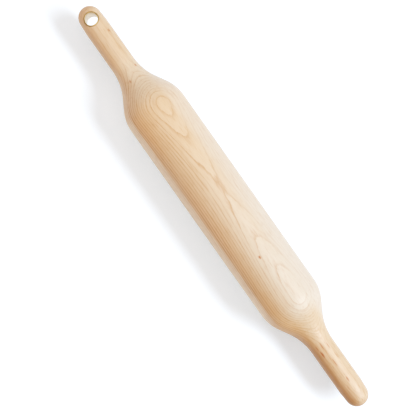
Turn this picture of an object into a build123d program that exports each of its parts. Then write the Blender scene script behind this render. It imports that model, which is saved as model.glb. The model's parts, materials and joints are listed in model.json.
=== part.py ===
from build123d import *

import math
import os

# A rolling pin with slim handles, turned from one piece of pale wood.
# The pin lies along X with its centre at the origin, and the hole runs up through the handle at +X.

# Driving dimensions, in millimetres and degrees

barrel_diameter = 63.5
barrel_length = 224.0  # the straight stretch that rolls the dough
handle_diameter = 25.0
holed_handle_length = 68.4  # from the foot of the shoulder to the tip
plain_handle_length = 70.9
taper_length = 22.0  # the handle narrows a little over this last stretch
tip_share = 0.944  # the round tip's radius against the handle's

shoulder_slope = 30.25  # the steepest slope of the shoulder, against the axis
slope_length = 11.9  # the straight stretch between the shoulder's two curves
crown_share = 0.426  # the outer curve's share of the two radii together

hole_to_tip = 15.8  # from the hole's axis to the tip of the handle
liner_diameter = 15.0
liner_wall = 1.0
glue_gap = 0.05  # all round, between the liner and the wood

quarter_turn = 90.0

# Sizes of the turned outline, worked out from the driving dimensions

barrel_radius = barrel_diameter / 2
handle_radius = handle_diameter / 2

slope_angle = math.radians(shoulder_slope)
curves_rise = barrel_radius - handle_radius - slope_length * math.sin(slope_angle)
both_radii = curves_rise / (1 - math.cos(slope_angle))
crown_radius = crown_share * both_radii
neck_radius = both_radii - crown_radius
shoulder_length = both_radii * math.sin(slope_angle) + slope_length * math.cos(slope_angle)

ends_length = plain_handle_length + holed_handle_length + 2 * shoulder_length
overall_length = barrel_length + ends_length

tip_radius = tip_share * handle_radius
taper_foot = taper_length - tip_radius  # from the round tip's centre to the straight handle
foot_angle = math.atan2(handle_radius, taper_foot)
tangent_angle = math.asin(tip_radius / math.hypot(handle_radius, taper_foot))
tip_taper = math.degrees(foot_angle - tangent_angle)

# Places along the axis, from the plain tip to the holed one

plain_tip = -overall_length / 2
plain_neck = plain_tip + plain_handle_length
plain_shoulder = plain_neck + shoulder_length
holed_shoulder = plain_shoulder + barrel_length
holed_neck = holed_shoulder + shoulder_length
holed_tip = holed_neck + holed_handle_length

hole_centre = holed_tip - hole_to_tip
hole_plane = Plane(origin=(hole_centre, 0, 0))
liner_radius = liner_diameter / 2
hole_radius = liner_radius + glue_gap


def end_outline(side, tip, neck, shoulder):
    """One shoulder, handle and round tip of the turned outline. The side is 1 towards +X."""
    top = quarter_turn
    bottom = -quarter_turn
    crown_centre = (shoulder, barrel_radius - crown_radius)
    neck_centre = (neck, handle_radius + neck_radius)
    tip_centre = (tip - side * tip_radius, 0)
    crown = CenterArc(crown_centre, crown_radius, top, -side * shoulder_slope)
    hollow = CenterArc(neck_centre, neck_radius, bottom, -side * shoulder_slope)
    tip_start = top - side * tip_taper
    round_tip = CenterArc(tip_centre, tip_radius, tip_start, -side * (quarter_turn - tip_taper))
    Line(crown @ 1, hollow @ 1)
    Polyline(hollow @ 0, (tip - side * taper_length, handle_radius), round_tip @ 0)


# The turned form: a straight barrel, double-curved shoulders and round-tipped handles

with BuildPart() as turned_form:
    with BuildSketch(Plane.XY):
        with BuildLine():
            Line((plain_tip, 0), (holed_tip, 0))
            Line((plain_shoulder, barrel_radius), (holed_shoulder, barrel_radius))
            end_outline(-1, plain_tip, plain_neck, plain_shoulder)
            end_outline(1, holed_tip, holed_neck, holed_shoulder)
        make_face()
    revolve(axis=Axis.X)

# The wooden pin: the turned form, drilled through the handle for hanging

with BuildPart() as wooden_pin:
    add(turned_form.part)
    with Locations(hole_plane):
        Hole(radius=hole_radius)

# The hole's liner: a short tube, glued in and sanded flush, so its ends follow the round handle

with BuildPart() as hanging_hole_liner:
    with BuildSketch(hole_plane):
        Circle(liner_radius)
        Circle(liner_radius - liner_wall, mode=Mode.SUBTRACT)
    extrude(amount=handle_radius, both=True)
    add(turned_form.part, mode=Mode.INTERSECT)

wooden_pin.part.label = "wooden_pin"
hanging_hole_liner.part.label = "hanging_hole_liner"

os.makedirs("parts", exist_ok=True)
export_step(wooden_pin.part, "parts/wooden_pin.step")
export_step(hanging_hole_liner.part, "parts/hanging_hole_liner.step")
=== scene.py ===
import json
import math

import bpy
from mathutils import Matrix, Vector


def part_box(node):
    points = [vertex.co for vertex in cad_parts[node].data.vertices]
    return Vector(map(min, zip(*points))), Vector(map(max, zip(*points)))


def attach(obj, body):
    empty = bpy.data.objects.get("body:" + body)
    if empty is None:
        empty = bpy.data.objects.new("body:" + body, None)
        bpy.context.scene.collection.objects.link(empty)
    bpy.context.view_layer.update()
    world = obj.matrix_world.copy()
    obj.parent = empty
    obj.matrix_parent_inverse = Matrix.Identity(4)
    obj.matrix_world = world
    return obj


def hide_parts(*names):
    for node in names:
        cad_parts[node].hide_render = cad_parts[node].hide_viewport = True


# A turned wooden rolling pin with a lined hanging hole, lying on a white table.
# The pin lies along X, the holed handle is at +X, and the hole runs straight up. Lengths are in metres.

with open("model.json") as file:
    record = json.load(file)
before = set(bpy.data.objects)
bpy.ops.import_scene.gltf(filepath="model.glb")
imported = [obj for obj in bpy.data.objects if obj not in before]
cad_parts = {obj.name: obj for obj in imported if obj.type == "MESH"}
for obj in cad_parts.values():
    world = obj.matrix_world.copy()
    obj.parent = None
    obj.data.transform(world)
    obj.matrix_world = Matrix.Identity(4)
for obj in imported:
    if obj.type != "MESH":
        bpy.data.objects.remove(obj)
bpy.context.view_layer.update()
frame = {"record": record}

millimetre = 0.001
full_turn = 2 * math.pi
quarter_turn = math.pi / 2

# Sizes that the frame gives

mounts = {mount["name"]: mount for mount in frame["record"]["mounts"]}
wood_low, wood_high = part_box("wooden_pin")
liner_low, liner_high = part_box("hanging_hole_liner")


def radius_of(mount):
    """The radius of one of the record's mounts."""
    return mounts[mount]["dims"]["r_mm"] * millimetre


def ends_of(mount):
    """Where one of the record's mounts along the pin begins and ends."""
    half = mounts[mount]["dims"]["length_mm"] * millimetre / 2
    middle = mounts[mount]["pos_m"][0]
    return middle - half, middle + half


barrel_radius = radius_of("barrel")
handle_radius = radius_of("plain_handle")
plain_shoulder, holed_shoulder = ends_of("barrel")
taper_start, plain_neck = ends_of("plain_handle")
plain_tip = wood_low.x
holed_tip = wood_high.x
overall_length = holed_tip - plain_tip

liner_bore = radius_of("hanging_hole")
liner_radius = (liner_high.x - liner_low.x) / 2
hole_centre = (liner_high.x + liner_low.x) / 2
glue_gap = 0.05 * millimetre
hole_radius = liner_radius + glue_gap

# Sizes of the turned outline

shoulder_slope = math.radians(30.25)
crown_share = 0.426  # the outer curve's share of the two radii together
tip_share = 0.944  # the round tip's radius against the handle's

shoulder_length = plain_shoulder - plain_neck
shoulder_drop = barrel_radius - handle_radius
slope_length = shoulder_drop / math.tan(shoulder_slope / 2) - shoulder_length
curves_drop = shoulder_drop - slope_length * math.sin(shoulder_slope)
both_radii = curves_drop / (1 - math.cos(shoulder_slope))
crown_radius = crown_share * both_radii
hollow_radius = both_radii - crown_radius

taper_length = taper_start - plain_tip
tip_radius = tip_share * handle_radius
tip_centre = taper_length - tip_radius  # from the taper's start
tip_taper = math.atan2(handle_radius, tip_centre)
tip_taper -= math.asin(tip_radius / math.hypot(handle_radius, tip_centre))

# How finely the pieces are modelled

round_steps = 160
rim_steps = 128
crown_steps = 12
hollow_steps = 14
tip_steps = 18
straight_step = 8 * millimetre

# The pin's turned outline


def arc(centre, radius, start, end, steps):
    """Points on an arc of the outline. Angles are from straight out, towards the tip."""
    points = []
    for step in range(steps + 1):
        angle = start + (end - start) * step / steps
        along = centre[0] + radius * math.sin(angle)
        out = centre[1] + radius * math.cos(angle)
        points.append((along, out))
    return points


def straight(start, end):
    """Points on a straight stretch of the outline, without its two ends."""
    along = end[0] - start[0]
    out = end[1] - start[1]
    steps = max(1, round(along / straight_step))
    shares = [step / steps for step in range(1, steps)]
    return [(start[0] + share * along, start[1] + share * out) for share in shares]


def end_outline(handle_length):
    """The outline from the end of the barrel to the tip, as distances along and out."""
    neck = shoulder_length
    taper = shoulder_length + handle_length - taper_length
    crown = arc((0, barrel_radius - crown_radius), crown_radius, 0, shoulder_slope, crown_steps)
    hollow_centre = (neck, handle_radius + hollow_radius)
    hollow = arc(hollow_centre, -hollow_radius, shoulder_slope, 0, hollow_steps)
    taper_foot = (taper, handle_radius)
    round_tip = arc((taper + tip_centre, 0), tip_radius, tip_taper, quarter_turn, tip_steps)
    points = crown + straight(crown[-1], hollow[0])
    points += hollow + straight(hollow[-1], taper_foot)
    points += [taper_foot] + straight(taper_foot, round_tip[0]) + round_tip
    return points


def whole_outline():
    """The outline from the plain tip to the holed one, as places along the pin and radii."""
    plain_end = end_outline(plain_neck - plain_tip)
    holed_end = end_outline(holed_tip - holed_shoulder - shoulder_length)
    points = [(plain_shoulder - along, out) for along, out in reversed(plain_end)]
    barrel_start = (plain_shoulder, barrel_radius)
    points += straight(barrel_start, (holed_shoulder, barrel_radius))
    points += [(holed_shoulder + along, out) for along, out in holed_end]
    return points


outline = whole_outline()


def radius_at(along):
    """The turned form's radius at a place along the pin."""
    for start, end in zip(outline, outline[1:]):
        if start[0] <= along <= end[0]:
            share = (along - start[0]) / (end[0] - start[0])
            return start[1] + share * (end[1] - start[1])
    return 0


# Modelling steps that more than one piece uses


def start_piece(name, add, **sizes):
    """A new primitive, alone in the selection, which becomes the named piece."""
    bpy.ops.object.select_all(action="DESELECT")
    add(**sizes)
    piece = bpy.context.object
    piece.name = name
    piece.data.name = name
    return piece


def apply_modifier(piece, kind, **settings):
    """Adds a modifier with its settings and applies it."""
    modifier = piece.modifiers.new(kind, kind)
    for setting, value in settings.items():
        setattr(modifier, setting, value)
    bpy.context.view_layer.objects.active = piece
    bpy.ops.object.modifier_apply(modifier=modifier.name)


def place_in_mesh(piece):
    """Moves the piece's place from its object into its mesh."""
    bpy.ops.object.select_all(action="DESELECT")
    piece.select_set(True)
    bpy.context.view_layer.objects.active = piece
    bpy.ops.object.transform_apply(location=True, rotation=True, scale=True)


def fit_to_handle(piece):
    """Presses a piece round the hole from a flat end to the handle's round surface."""
    for vertex in piece.data.vertices:
        height = math.sqrt(radius_at(vertex.co.x) ** 2 - vertex.co.y ** 2)
        vertex.co.z *= height / handle_radius


def smooth(piece, angle):
    """Shades the piece smooth, apart from edges sharper than the angle."""
    bpy.ops.object.select_all(action="DESELECT")
    piece.select_set(True)
    bpy.context.view_layer.objects.active = piece
    bpy.ops.object.shade_smooth_by_angle(angle=angle)


def finish_piece(piece, node, material):
    """The piece stands for a node of the frame, and rides on the pin's one body."""
    piece.data.materials.clear()
    piece.data.materials.append(material)
    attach(piece, "root")
    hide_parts(node)


# The wooden pin: the outline turned about X, then drilled

flare_size = 0.1 * millimetre
cutter_reach = handle_radius / 2
upright_share = 0.5  # a face whose normal is more upright than this counts as one that looks up or down
merge_distance = 0.001 * millimetre
smooth_angle = math.radians(28)


def turn_on_lathe(name):
    """The round solid that the outline gives when it is turned about X."""
    start = (outline[0][0], 0, outline[0][1])
    piece = start_piece(name, bpy.ops.mesh.primitive_plane_add, size=straight_step, location=start)
    place_in_mesh(piece)
    bpy.ops.object.mode_set(mode="EDIT")
    bpy.ops.mesh.merge(type="CENTER")
    for here, there in zip(outline, outline[1:]):
        step = (there[0] - here[0], 0, there[1] - here[1])
        bpy.ops.mesh.extrude_region_move(TRANSFORM_OT_translate={"value": step})
    bpy.ops.mesh.select_all(action="SELECT")
    bpy.ops.mesh.spin(steps=round_steps, angle=full_turn, center=(0, 0, 0), axis=(1, 0, 0))
    bpy.ops.mesh.select_all(action="SELECT")
    bpy.ops.mesh.remove_doubles(threshold=merge_distance)
    bpy.ops.mesh.normals_make_consistent(inside=False)
    bpy.ops.object.mode_set(mode="OBJECT")
    return piece


def select_facing(piece, side):
    """Selects the faces that look up, where the side is 1, or down, where it is -1."""
    bpy.ops.mesh.select_all(action="DESELECT")
    bpy.ops.object.mode_set(mode="OBJECT")
    for face in piece.data.polygons:
        face.select = face.normal.z * side > upright_share
    bpy.ops.object.mode_set(mode="EDIT")


def hole_cutter():
    """The drill's shape: a cylinder with flared ends.

    The lower flare takes the wall and the slope of the upper one along. So the hole comes out wider
    than the cylinder by one flare, and over its upper part by two.
    """
    flare = (hole_radius + flare_size) / hole_radius
    centre = (hole_centre, 0, 0)
    piece = start_piece(
        "hole_cutter",
        bpy.ops.mesh.primitive_cylinder_add,
        vertices=rim_steps,
        radius=hole_radius,
        depth=2 * handle_radius - flare_size,
        location=centre,
    )
    place_in_mesh(piece)
    bpy.ops.object.mode_set(mode="EDIT")
    for side in (1, -1):
        select_facing(piece, side)
        rise = (0, 0, side * flare_size)
        reach = (0, 0, side * cutter_reach)
        bpy.ops.mesh.extrude_region_move(TRANSFORM_OT_translate={"value": rise})
        bpy.ops.transform.resize(value=(flare, flare, 1), center_override=centre)
        bpy.ops.mesh.extrude_region_move(TRANSFORM_OT_translate={"value": reach})
    bpy.ops.object.mode_set(mode="OBJECT")
    fit_to_handle(piece)
    return piece


def make_pin(material):
    """The turned and drilled wooden pin."""
    pin = turn_on_lathe("turned_pin")
    cutter = hole_cutter()
    apply_modifier(pin, "BOOLEAN", operation="DIFFERENCE", solver="EXACT", object=cutter)
    bpy.data.objects.remove(cutter)
    smooth(pin, smooth_angle)
    finish_piece(pin, "wooden_pin", material)


# The hole's liner: a thin tube with softened rims, its ends flush with the round handle

rim_softening = 0.2 * millimetre
rim_segments = 3


def make_liner(material):
    """The brass tube in the hanging hole."""
    liner = start_piece(
        "hole_liner",
        bpy.ops.mesh.primitive_cylinder_add,
        vertices=rim_steps,
        radius=liner_radius,
        depth=2 * handle_radius,
        location=(hole_centre, 0, 0),
        end_fill_type="NOTHING",
    )
    place_in_mesh(liner)
    apply_modifier(liner, "SOLIDIFY", thickness=liner_radius - liner_bore, offset=-1)
    apply_modifier(liner, "BEVEL", width=rim_softening, segments=rim_segments)
    fit_to_handle(liner)
    smooth(liner, smooth_angle)
    finish_piece(liner, "hanging_hole_liner", material)


# Shader maths and nodes

mix_first = 6  # the Mix node's own numbers for its two colours and its mixed colour
mix_second = 7
mix_result = 2
bump_strength = 0.2


class Value:
    """A number in the shader, so that sums on it are written as plain Python."""

    def __init__(self, finish, socket):
        self.finish = finish
        self.socket = socket

    def maths(self, operation, *others):
        """A Math node with this value first."""
        inputs = {place + 1: other for place, other in enumerate(others)}
        inputs[0] = self
        return self.finish.node("Math", {"operation": operation}, inputs)

    def __add__(self, other):
        return self.maths("ADD", other)

    def __radd__(self, other):
        return self.maths("ADD", other)

    def __sub__(self, other):
        return self.maths("SUBTRACT", other)

    def __rsub__(self, other):
        return self.maths("MULTIPLY", -1).maths("ADD", other)

    def __mul__(self, other):
        return self.maths("MULTIPLY", other)

    def __rmul__(self, other):
        return self.maths("MULTIPLY", other)

    def __truediv__(self, other):
        return self.maths("DIVIDE", other)

    def __pow__(self, other):
        return self.maths("POWER", other)

    def ramp(self, start, end):
        """0 at the start, 1 at the end, and smooth between them."""
        inputs = {"Value": self, "From Min": start, "From Max": end}
        return self.finish.node("MapRange", {"interpolation_type": "SMOOTHSTEP"}, inputs)


class Finish:
    """A material in the making."""

    def __init__(self, name):
        self.material = bpy.data.materials.new(name)
        self.material.use_nodes = True
        self.tree = self.material.node_tree
        self.tree.nodes.clear()

    def node(self, kind, settings, inputs, output=0):
        """A node of this kind, with its settings and then its sockets set or linked."""
        made = self.tree.nodes.new("ShaderNode" + kind)
        for name, setting in settings.items():
            setattr(made, name, setting)
        for name, given in inputs.items():
            if isinstance(given, Value):
                self.tree.links.new(given.socket, made.inputs[name])
            else:
                made.inputs[name].default_value = given
        return Value(self, made.outputs[output] if made.outputs else None)

    def mix(self, factor, first, second):
        """The first colour where the factor is 0, the second where it is 1."""
        inputs = {"Factor": factor, mix_first: first, mix_second: second}
        return self.node("Mix", {"data_type": "RGBA"}, inputs, mix_result)

    def millimetres(self):
        """The place on the piece in millimetres, as one vector."""
        place = self.node("TexCoord", {}, {}, "Object")
        scale = {"Vector": place, "Scale": 1 / millimetre}
        return self.node("VectorMath", {"operation": "SCALE"}, scale)

    def part(self, vector, axis):
        """One of a vector's three numbers."""
        return self.node("SeparateXYZ", {}, {"Vector": vector}, axis)

    def length(self, vector):
        """How long a vector is."""
        return self.node("VectorMath", {"operation": "LENGTH"}, {0: vector}, "Value")

    def stretched(self, vector, lengths):
        """The vector with each of its directions measured in its own length."""
        shrink = {0: vector, 1: tuple(1 / length for length in lengths)}
        return self.node("VectorMath", {"operation": "MULTIPLY"}, shrink)

    def noise(self, vector, lengths, detail=2, roughness=0.5):
        """Soft noise from -1 to 1, with patches of about these lengths."""
        inputs = {
            "Vector": self.stretched(vector, lengths),
            "Scale": 1,
            "Detail": detail,
            "Roughness": roughness,
        }
        return (self.node("TexNoise", {}, inputs) - 0.5) * 2

    def bump(self, height, relief):
        """A surface normal for heights that stand for this much relief, in millimetres."""
        inputs = {"Height": height, "Strength": bump_strength, "Distance": relief * millimetre}
        return self.node("Bump", {}, inputs)

    def surface(self, inputs):
        """Gives the material its surface."""
        shader = self.node("BsdfPrincipled", {}, inputs)
        self.node("OutputMaterial", {}, {"Surface": shader})
        return self.material


# The wood: layers of growth that dip towards both ends, with thin darker lines between them

# Lengths here are in millimetres. Depths are measured down from the top layer, and places along the
# pin from its middle, towards the holed handle. Across the pin, paler sapwood is on the -Y side, which
# faces the window light, and warmer heartwood is on the +Y side, away from it. Both also paint light:
# a sheen on the lit side and shade on the other. A slant is 1 where the layers lie level with the
# wood's surface, and 0 where they meet it squarely. A pair of places or slants is where something
# starts to show and where it shows in full.

layer_tilt = math.radians(18)
top_layer = 35.6
outer_depth = 4.0  # down to here all layers have the same thickness
outer_thickness = 1.9
inner_thickness = 1.25
thickening_share = 0.2  # each millimetre further down adds this share to the square of the thickness
layer_seed = 2827  # picks which layers have strong lines

saddle = 19  # where along the pin the layers lie highest, between two sets of ovals
holed_side = (-30, 60)  # here the plain side's dip gives way to the holed side's
plain_reach = 112  # this far from the saddle the layers dip no further
holed_reach = 94
reach_softness = 15
plain_bend = 50  # about this far from the saddle the dip turns from a curve into a slope
holed_bend = 105
plain_slope = 0.066  # the dip for each millimetre along
holed_slope = 0.125

# Noise in the wood: how long its patches are, and how far it moves the layers up and down

fibre_lengths = (9, 0.5, 0.5)
fibre_dip = 0.16
wander_lengths = (120, 30, 30)
wander_dip = 0.8
waver_lengths = (36, 9, 9)
waver_dip = 0.35
jitter_lengths = (9, 2.2, 2.2)
jitter_dip = 0.22
break_lengths = (30, 5, 5)
patch_lengths = (70, 14, 14)
streak_lengths = (35, 10, 0.5)
fleck_lengths = (10, 1.4, 1.4)
fine = {"detail": 3}
ragged = {"detail": 4, "roughness": 0.7}

# The dark lines, and where they are weaker

line_edge_share = 0.06  # a line sets in over this share of its layer
flank_sharpness = 2  # how fast a line fades through its layer
top_sharpness = 6  # what is added to that where the layers lie level
weakest_line = 0.35
break_middle = 0.85
break_range = 0.95
faint_side = (-6, -18)  # across the pin
faint_side_fade = 0.6
calm_stretch = (0, -60)  # along the pin, and only at these slants
calm_slants = (0.7, 0.95)
calm_fade = 0.3
handle_fades = ((150, 175, 0.5), (-150, -175, 0.5))

# The wood's colours

pale = (0.67, 0.572, 0.44, 1)
warm = (0.66, 0.48, 0.30, 1)
sapwood_and_sheen = (0.70, 0.605, 0.49, 1)
# Painted light from the white table, low on the barrel's flanks.
painted_table_light = (0.82, 0.65, 0.46, 1)
honey = (0.88, 0.43, 0.13, 1)
amber = (0.73, 0.39, 0.12, 1)
brown = (0.53, 0.28, 0.11, 1)
tan = (0.46, 0.222, 0.066, 1)
rust = (0.44, 0.15, 0.04, 1)

# Where the colours lie. A band gives its two places and its strength.

# The bands at the shoulders partly paint light: the holed shoulder, turned from the window light, is
# paler, and the plain shoulder, turned towards it, is warmer, as painted shade.
warmth_bands = ((-110, 110, 1), (-118, -140, 0.85), (112, 140, -0.7), (155, 180, 0.45))
patch_warmth = 0.2
# Paler wood on the lit -Y flank: sapwood, with a painted sheen.
sapwood_and_sheen_side = (-12, -22)
sapwood_and_sheen_at_middle = 0.62
sapwood_and_sheen_fading = 1200  # the length along the pin that would take the strength down by 1

# Warmer, darker wood on the shaded +Y flank: heartwood, with painted shade.
heart_and_shade_side = (-4, 7)
heart_and_shade_slants = (1.06, 0.42)
heart_and_shade_at_middle = 0.34
heart_and_shade_fading = 340
heart_and_shade_least = 0.2
heart_and_shade_bands = ((60, 100, 0.15), (110, 130, -0.15))
amber_stretch = (20, -90)
# Where the painted light from the table shows, low on the barrel's flanks.
painted_table_light_slants = (0.335, 0.305)
painted_table_light_unevenness = 0.012
plain_barrel_end = (-130, -112)
holed_barrel_end = (132, 114)

plain_handle_start = (-125, -180)
# The plain handle's shaded +Y side is painted browner, as heartwood and shade.
handle_heart_and_shade = 0.68
# Browner tips: partly end grain, partly painted shade on the round ends.
tip_grain_and_shade_bands = ((165, 190, 0.12), (-232, -241, 0.5), (230, 240, 0.35))
# A tan lower side on the plain handle and its tip: painted shade on the side away from the light.
shaded_tip_stretch = (-210, -236)
shaded_tip_side = (0, 9)
shaded_tip_strength = 0.95
shaded_handle_side = (5.5, 8)
shaded_handle_side_strength = 0.5

# How much the streaks, flecks and fibres darken and lighten the wood

streak_darkening = 0.5
streak_handle_darkening = 0.3  # added on the plain handle
streak_lightening = 0.4
fleck_darkening = 0.6
fleck_handle_darkening = 0.4
fleck_lightening = 0.3
fibre_darkening = 0.25

# Small brown streaks on the upper side: where along and across the pin, how long and wide, how strong

streak_marks = (
    (-60.1, 0.25, 5.0, 2.3, 1.0),
    (-170.3, -4.8, 11, 1.4, 0.7),
    (-168.5, 0.8, 10, 1.4, 0.8),
    (-175.6, 4.9, 10, 2.6, 1.0),
    (-168.0, 6.0, 9, 1.4, 0.7),
    (-183.0, -6.0, 9, 1.2, 0.5),
    (-188.5, -0.5, 12, 1.5, 0.7),
    (-208.5, -1.6, 9, 2.2, 0.8),
    (-216.0, 3.0, 9, 1.6, 0.4),
    (152.0, 4.2, 6, 2.8, 0.6),
    (163.5, -9.6, 5, 2.8, 0.7),
    (206.5, -7.9, 4.5, 3.4, 0.6),
)
mark_depth = 2
mark_edge_shares = (1, 0.2)  # a streak starts and is full at these shares of its half lengths
mark_raggedness = 0.8

# How smooth the wood is

fibre_relief_share = 0.5  # the fibres' relief against the lines'
wood_relief = 0.05
wood_roughness = 0.55
fibre_roughness = 0.05


class Grain:
    """What the wood's lines and colours go by at each place on the pin."""

    def __init__(self, finish):
        self.place = finish.millimetres()
        self.x = finish.part(self.place, "X")
        self.y = finish.part(self.place, "Y")
        z = finish.part(self.place, "Z")
        self.up = z * math.cos(layer_tilt) - self.y * math.sin(layer_tilt)
        self.across = self.y * math.cos(layer_tilt) + z * math.sin(layer_tilt)
        self.slant = self.up / (self.y * self.y + z * z) ** 0.5
        self.fibres = finish.noise(self.place, fibre_lengths, **fine)
        self.patches = finish.noise(self.place, patch_lengths)
        self.on_plain_handle = self.x.ramp(*plain_handle_start)


def banded(x, bands):
    """The sum of some bands, each of which rises from 0 to its strength between its two places."""
    return sum(x.ramp(start, full) * strength for start, full, strength in bands)


def layer_dip(x):
    """How far the layers lie below their height at the saddle, which sets the ovals' places."""
    side = x.ramp(*holed_side)
    bend = side * (holed_bend - plain_bend) + plain_bend
    slope = side * (holed_slope - plain_slope) + plain_slope
    limit = side * (holed_reach - plain_reach) + plain_reach
    reach = (x - saddle).maths("ABSOLUTE").maths("SMOOTH_MIN", limit, reach_softness)
    away = reach / bend
    return ((away * away + 1) ** 0.5 - 1) * slope * bend


def layer_count(finish, grain):
    """How many layers of growth lie above each place, with the share that it is into its own."""
    wander = finish.noise(grain.place, wander_lengths) * wander_dip
    waver = finish.noise(grain.place, waver_lengths) * waver_dip
    jitter = finish.noise(grain.place, jitter_lengths, **ragged) * jitter_dip
    dip = layer_dip(grain.x) + wander + waver + jitter + grain.fibres * fibre_dip
    depth = top_layer - (grain.up + dip)
    outer = depth.maths("MINIMUM", outer_depth)
    inner = (depth - outer_depth).maths("MAXIMUM", 0)
    inner_count = ((inner * thickening_share + 1) ** 0.5 - 1) * (2 / thickening_share / inner_thickness)
    return outer / outer_thickness + inner_count


def layer_lines(grain, count):
    """A line in each layer, which sets in at the layer's top and fades further into it."""
    through = count.maths("FRACT")
    sharpness = grain.slant * grain.slant * top_sharpness + flank_sharpness
    return (1 - through) ** sharpness * through.ramp(0, line_edge_share)


def line_strength(finish, grain, count):
    """How dark the lines are: each layer has its own strength, and the lines break up and fade."""
    layer = {"W": count.maths("FLOOR") + layer_seed}
    own_strength = finish.node("TexWhiteNoise", {"noise_dimensions": "1D"}, layer) + weakest_line
    breaks = finish.noise(grain.place, break_lengths, **ragged) * break_range + break_middle
    calm = grain.x.ramp(*calm_stretch) * grain.slant.ramp(*calm_slants)
    strength = own_strength * breaks * (1 - calm * calm_fade)
    strength = strength * (1 - grain.y.ramp(*faint_side) * faint_side_fade)
    return strength * (1 - banded(grain.x, handle_fades))


def base_colours(finish, grain):
    """Pale wood that gets warmer along the barrel, with paler sapwood on the -Y side, which also paints
    in the sheen of the lit side.
    """
    warmth = banded(grain.x, warmth_bands) + grain.patches * patch_warmth
    colour = finish.mix(warmth, pale, warm)
    # Paler sapwood and a painted sheen on the lit -Y flank.
    strength = sapwood_and_sheen_at_middle - grain.x / sapwood_and_sheen_fading
    return finish.mix(grain.y.ramp(*sapwood_and_sheen_side) * strength, colour, sapwood_and_sheen)


def heart_and_shade_colours(finish, grain, colour):
    """The warmer heartwood on the other side, which also paints in its shade, with a pale strip below
    it that is painted light from the white table.
    """
    # Heartwood and painted shade on the shaded +Y flank, strongest low down.
    heart_and_shade = grain.slant.ramp(*heart_and_shade_slants) * grain.y.ramp(*heart_and_shade_side)
    strength = (heart_and_shade_at_middle - grain.x / heart_and_shade_fading).maths("MAXIMUM", heart_and_shade_least)
    strength = strength + banded(grain.x, heart_and_shade_bands)
    heartwood_and_shade = finish.mix(grain.x.ramp(*amber_stretch), honey, amber)
    colour = finish.mix(heart_and_shade * strength * (1 - grain.on_plain_handle), colour, heartwood_and_shade)
    colour = finish.mix(heart_and_shade * grain.on_plain_handle * handle_heart_and_shade, colour, brown)
    on_barrel = grain.x.ramp(*plain_barrel_end) * grain.x.ramp(*holed_barrel_end)
    # The pale strip low on the barrel's flanks is painted light from the white table.
    uneven_slant = grain.slant + grain.patches * painted_table_light_unevenness
    return finish.mix(uneven_slant.ramp(*painted_table_light_slants) * on_barrel, colour, painted_table_light)


def handle_colours(finish, grain, colour):
    """Browner tips, partly end grain and partly painted shade, and a tan side on the plain handle,
    which is painted shade on its lower side, away from the light.
    """
    colour = finish.mix(banded(grain.x, tip_grain_and_shade_bands), colour, brown)
    shaded_tip_mask = grain.x.ramp(*shaded_tip_stretch) * grain.y.ramp(*shaded_tip_side)
    colour = finish.mix(shaded_tip_mask * shaded_tip_strength, colour, tan)
    uneven_shaded_side = (grain.y + grain.fibres + grain.patches).ramp(*shaded_handle_side)
    return finish.mix(uneven_shaded_side * grain.on_plain_handle * shaded_handle_side_strength, colour, tan)


def streaked(finish, grain, count, colour):
    """The colour with streaks that follow the layers, flecks and fibres."""
    along_layers = finish.node("CombineXYZ", {}, {"X": grain.x, "Y": grain.across, "Z": count})
    streaks = finish.noise(along_layers, streak_lengths, **fine)
    flecks = finish.noise(grain.place, fleck_lengths)
    streak_strength = grain.on_plain_handle * streak_handle_darkening + streak_darkening
    fleck_strength = grain.on_plain_handle * fleck_handle_darkening + fleck_darkening
    colour = finish.mix(streaks.ramp(0, 1) * streak_strength, colour, tan)
    colour = finish.mix(streaks.ramp(0, -1) * streak_lightening, colour, sapwood_and_sheen)
    colour = finish.mix(flecks.ramp(0, -1) * fleck_lightening, colour, sapwood_and_sheen)
    colour = finish.mix(flecks.ramp(0, 1) * fleck_strength, colour, tan)
    return finish.mix(grain.fibres.ramp(0, 1) * fibre_darkening, colour, tan)


def mark(finish, grain, x, y, sizes):
    """A small patch on the pin's upper side, 1 at its middle and 0 outside these half lengths."""
    height = math.sqrt((radius_at(x * millimetre) / millimetre) ** 2 - y ** 2)
    away = finish.node("VectorMath", {"operation": "SUBTRACT"}, {0: grain.place, 1: (x, y, height)})
    out = finish.length(finish.stretched(away, sizes))
    return (out + grain.fibres * mark_raggedness).ramp(*mark_edge_shares)


def marked(finish, grain, colour):
    """The colour with the small brown streaks in their places."""
    for along, over, length, width, strength in streak_marks:
        spot = mark(finish, grain, along, over, (length / 2, width / 2, mark_depth))
        colour = finish.mix(spot * strength, colour, rust)
    return colour


def wood():
    """Pale close-grained hardwood with a satin finish."""
    finish = Finish("pale_wood")
    grain = Grain(finish)
    count = layer_count(finish, grain)
    line = layer_lines(grain, count)
    colour = base_colours(finish, grain)
    colour = heart_and_shade_colours(finish, grain, colour)
    colour = handle_colours(finish, grain, colour)
    colour = finish.mix(line * line_strength(finish, grain, count), colour, tan)
    colour = streaked(finish, grain, count, colour)
    surface = {
        "Base Color": marked(finish, grain, colour),
        "Roughness": grain.fibres * fibre_roughness + wood_roughness,
        "Specular IOR Level": 0.8,
        "Coat Weight": 0.33,
        "Coat Roughness": 0.5,
        "Normal": finish.bump(grain.fibres * fibre_relief_share - line, wood_relief),
    }
    return finish.surface(surface)


# The brass: dulled, with fine marks from sanding. Its lengths are in millimetres too.

# Paler gold down the bore: brass, and partly a painted reflection of the white table.
bore_gold_and_reflection = (0.71, 0.58, 0.42, 1)
rim_gold = (0.69, 0.49, 0.20, 1)
olive = (0.54, 0.41, 0.18, 1)
olive_patches = (-0.5, 0.8)
rim_edge = 0.2  # how far out from the bore the rim's colour is full
scratch_lengths = (3, 0.15, 3)
dull_lengths = (2, 2, 2)
brass_relief = 0.02
bore_roughness = 0.35
rim_roughness = 0.2  # added on the rim
dull_roughness = 0.08


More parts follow.
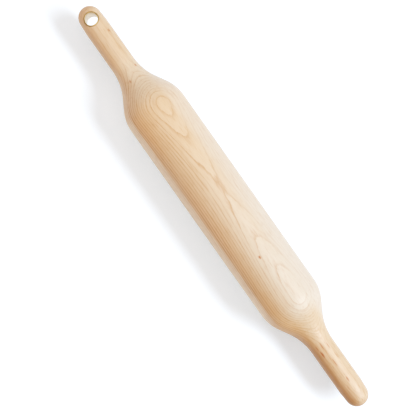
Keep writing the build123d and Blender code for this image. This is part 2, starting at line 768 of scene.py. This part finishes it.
def brass():
    """Thin drawn brass, sanded flush and gone dull, and brighter down the bore, whose paler gold partly
    paints in the white table's reflection.
    """
    finish = Finish("dull_brass")
    place = finish.millimetres()
    x = finish.part(place, "X") - hole_centre / millimetre
    y = finish.part(place, "Y")
    bore = liner_bore / millimetre
    on_rim = ((x * x + y * y) ** 0.5).ramp(bore, bore + rim_edge)
    scratches = finish.noise(place, scratch_lengths, **fine)
    dullness = finish.noise(place, dull_lengths, **fine)
    colour = finish.mix(dullness.ramp(*olive_patches), rim_gold, olive)
    surface = {
        "Base Color": finish.mix(on_rim, bore_gold_and_reflection, colour),
        "Metallic": 1.0,
        "Roughness": dullness * dull_roughness + on_rim * rim_roughness + bore_roughness,
        "Normal": finish.bump(scratches, brass_relief),
    }
    return finish.surface(surface)


# The table

floor_size = 12 * overall_length
table_white = (0.82, 0.82, 0.82, 1)
table_glow = (0.185, 0.262, 0.32, 1)
table_roughness = 0.95
mottle_lengths = (60, 60, 60)  # millimetres
mottle_roughness = 0.02


def make_floor():
    """A plain white table top, touching the barrel."""
    floor = start_piece(
        "white_table",
        bpy.ops.mesh.primitive_plane_add,
        size=floor_size,
        location=(0, 0, -barrel_radius),
    )
    place_in_mesh(floor)
    finish = Finish("white_table")
    mottle = finish.noise(finish.millimetres(), mottle_lengths)
    white = {
        "Base Color": table_white,
        "Roughness": mottle * mottle_roughness + table_roughness,
        "Emission Color": table_glow,
        "Emission Strength": 1.0,
    }
    floor.data.materials.append(finish.surface(white))


# The lights: a window on one side, a lamp above, and the room all round

window_side = Vector((-0.68, -0.73, 1)).normalized()
window_distance = 5
window_sizes = (3.2, 1.3)  # along and across the pin
window_power = 226
window_colour = (0.733, 0.860, 1.0)

lamp_side = Vector((0.4, 0.04, 1)).normalized()
lamp_distance = 3
lamp_sizes = (5, 5)
lamp_power = 59
lamp_colour = (1.0, 0.896, 0.814)

room_colour = (0.32, 0.262, 0.235, 1)


def make_light(name, direction, distance, sizes, power, colour):
    """A soft oval light that shines at the pin's middle from one direction."""
    lamp = bpy.data.lights.new(name, "AREA")
    lamp.shape = "ELLIPSE"
    lamp.size, lamp.size_y = sizes
    lamp.energy = power
    lamp.color = colour
    light = bpy.data.objects.new(name, lamp)
    light.location = direction * distance
    across = direction.cross((1, 0, 0)).normalized()
    along = across.cross(direction)
    light.rotation_euler = Matrix((along, across, direction)).transposed().to_euler()
    bpy.context.scene.collection.objects.link(light)


def make_room():
    """Dim warm light from the room all round."""
    world = bpy.data.worlds.new("room")
    world.use_nodes = True
    world.node_tree.nodes["Background"].inputs["Color"].default_value = room_colour
    bpy.context.scene.world = world


# The tone curve

tone_height = 2.0
tone_contrast = 1.4
tone_steps = 16
brightness_curve = 3  # the curve that acts on all three colours alike


def make_exposure():
    """A photograph's tone curve, which holds back the bright tones."""
    view = bpy.context.scene.view_settings
    view.view_transform = "Standard"
    view.use_curve_mapping = True
    tones = view.curve_mapping
    curve = tones.curves[brightness_curve]
    for step in range(1, tone_steps):
        light = (step / tone_steps) ** 2
        raised = light ** tone_contrast
        curve.points.new(light, tone_height * raised / (raised + tone_height - 1))
    tones.update()


# The camera: straight above, turned as in the photograph

photo_width = 416  # pixels
pin_in_photo = 484.7  # the pin's length in pixels
pin_right = 15.30  # from the photograph's middle to the pin's, in pixels
pin_above = 1.91
camera_turn = math.radians(-125.27)
camera_height = 0.956
sensor_width = 36  # millimetres


def make_camera():
    """The camera at the photograph's angle."""
    pixel = overall_length / pin_in_photo
    camera_data = bpy.data.cameras.new("camera")
    camera_data.sensor_width = sensor_width
    camera_data.lens = sensor_width * camera_height / (photo_width * pixel)
    camera = bpy.data.objects.new("camera", camera_data)
    right = Vector((math.cos(camera_turn), math.sin(camera_turn), 0))
    above = Vector((-math.sin(camera_turn), math.cos(camera_turn), 0))
    camera.location = -(pin_right * right + pin_above * above) * pixel
    camera.location.z = camera_height
    camera.rotation_euler = (0, 0, camera_turn)
    bpy.context.scene.collection.objects.link(camera)
    bpy.context.scene.camera = camera


make_pin(wood())
make_liner(brass())
make_floor()
make_light("window_light", window_side, window_distance, window_sizes, window_power, window_colour)
make_light("lamp_above", lamp_side, lamp_distance, lamp_sizes, lamp_power, lamp_colour)
make_room()
make_camera()
make_exposure()
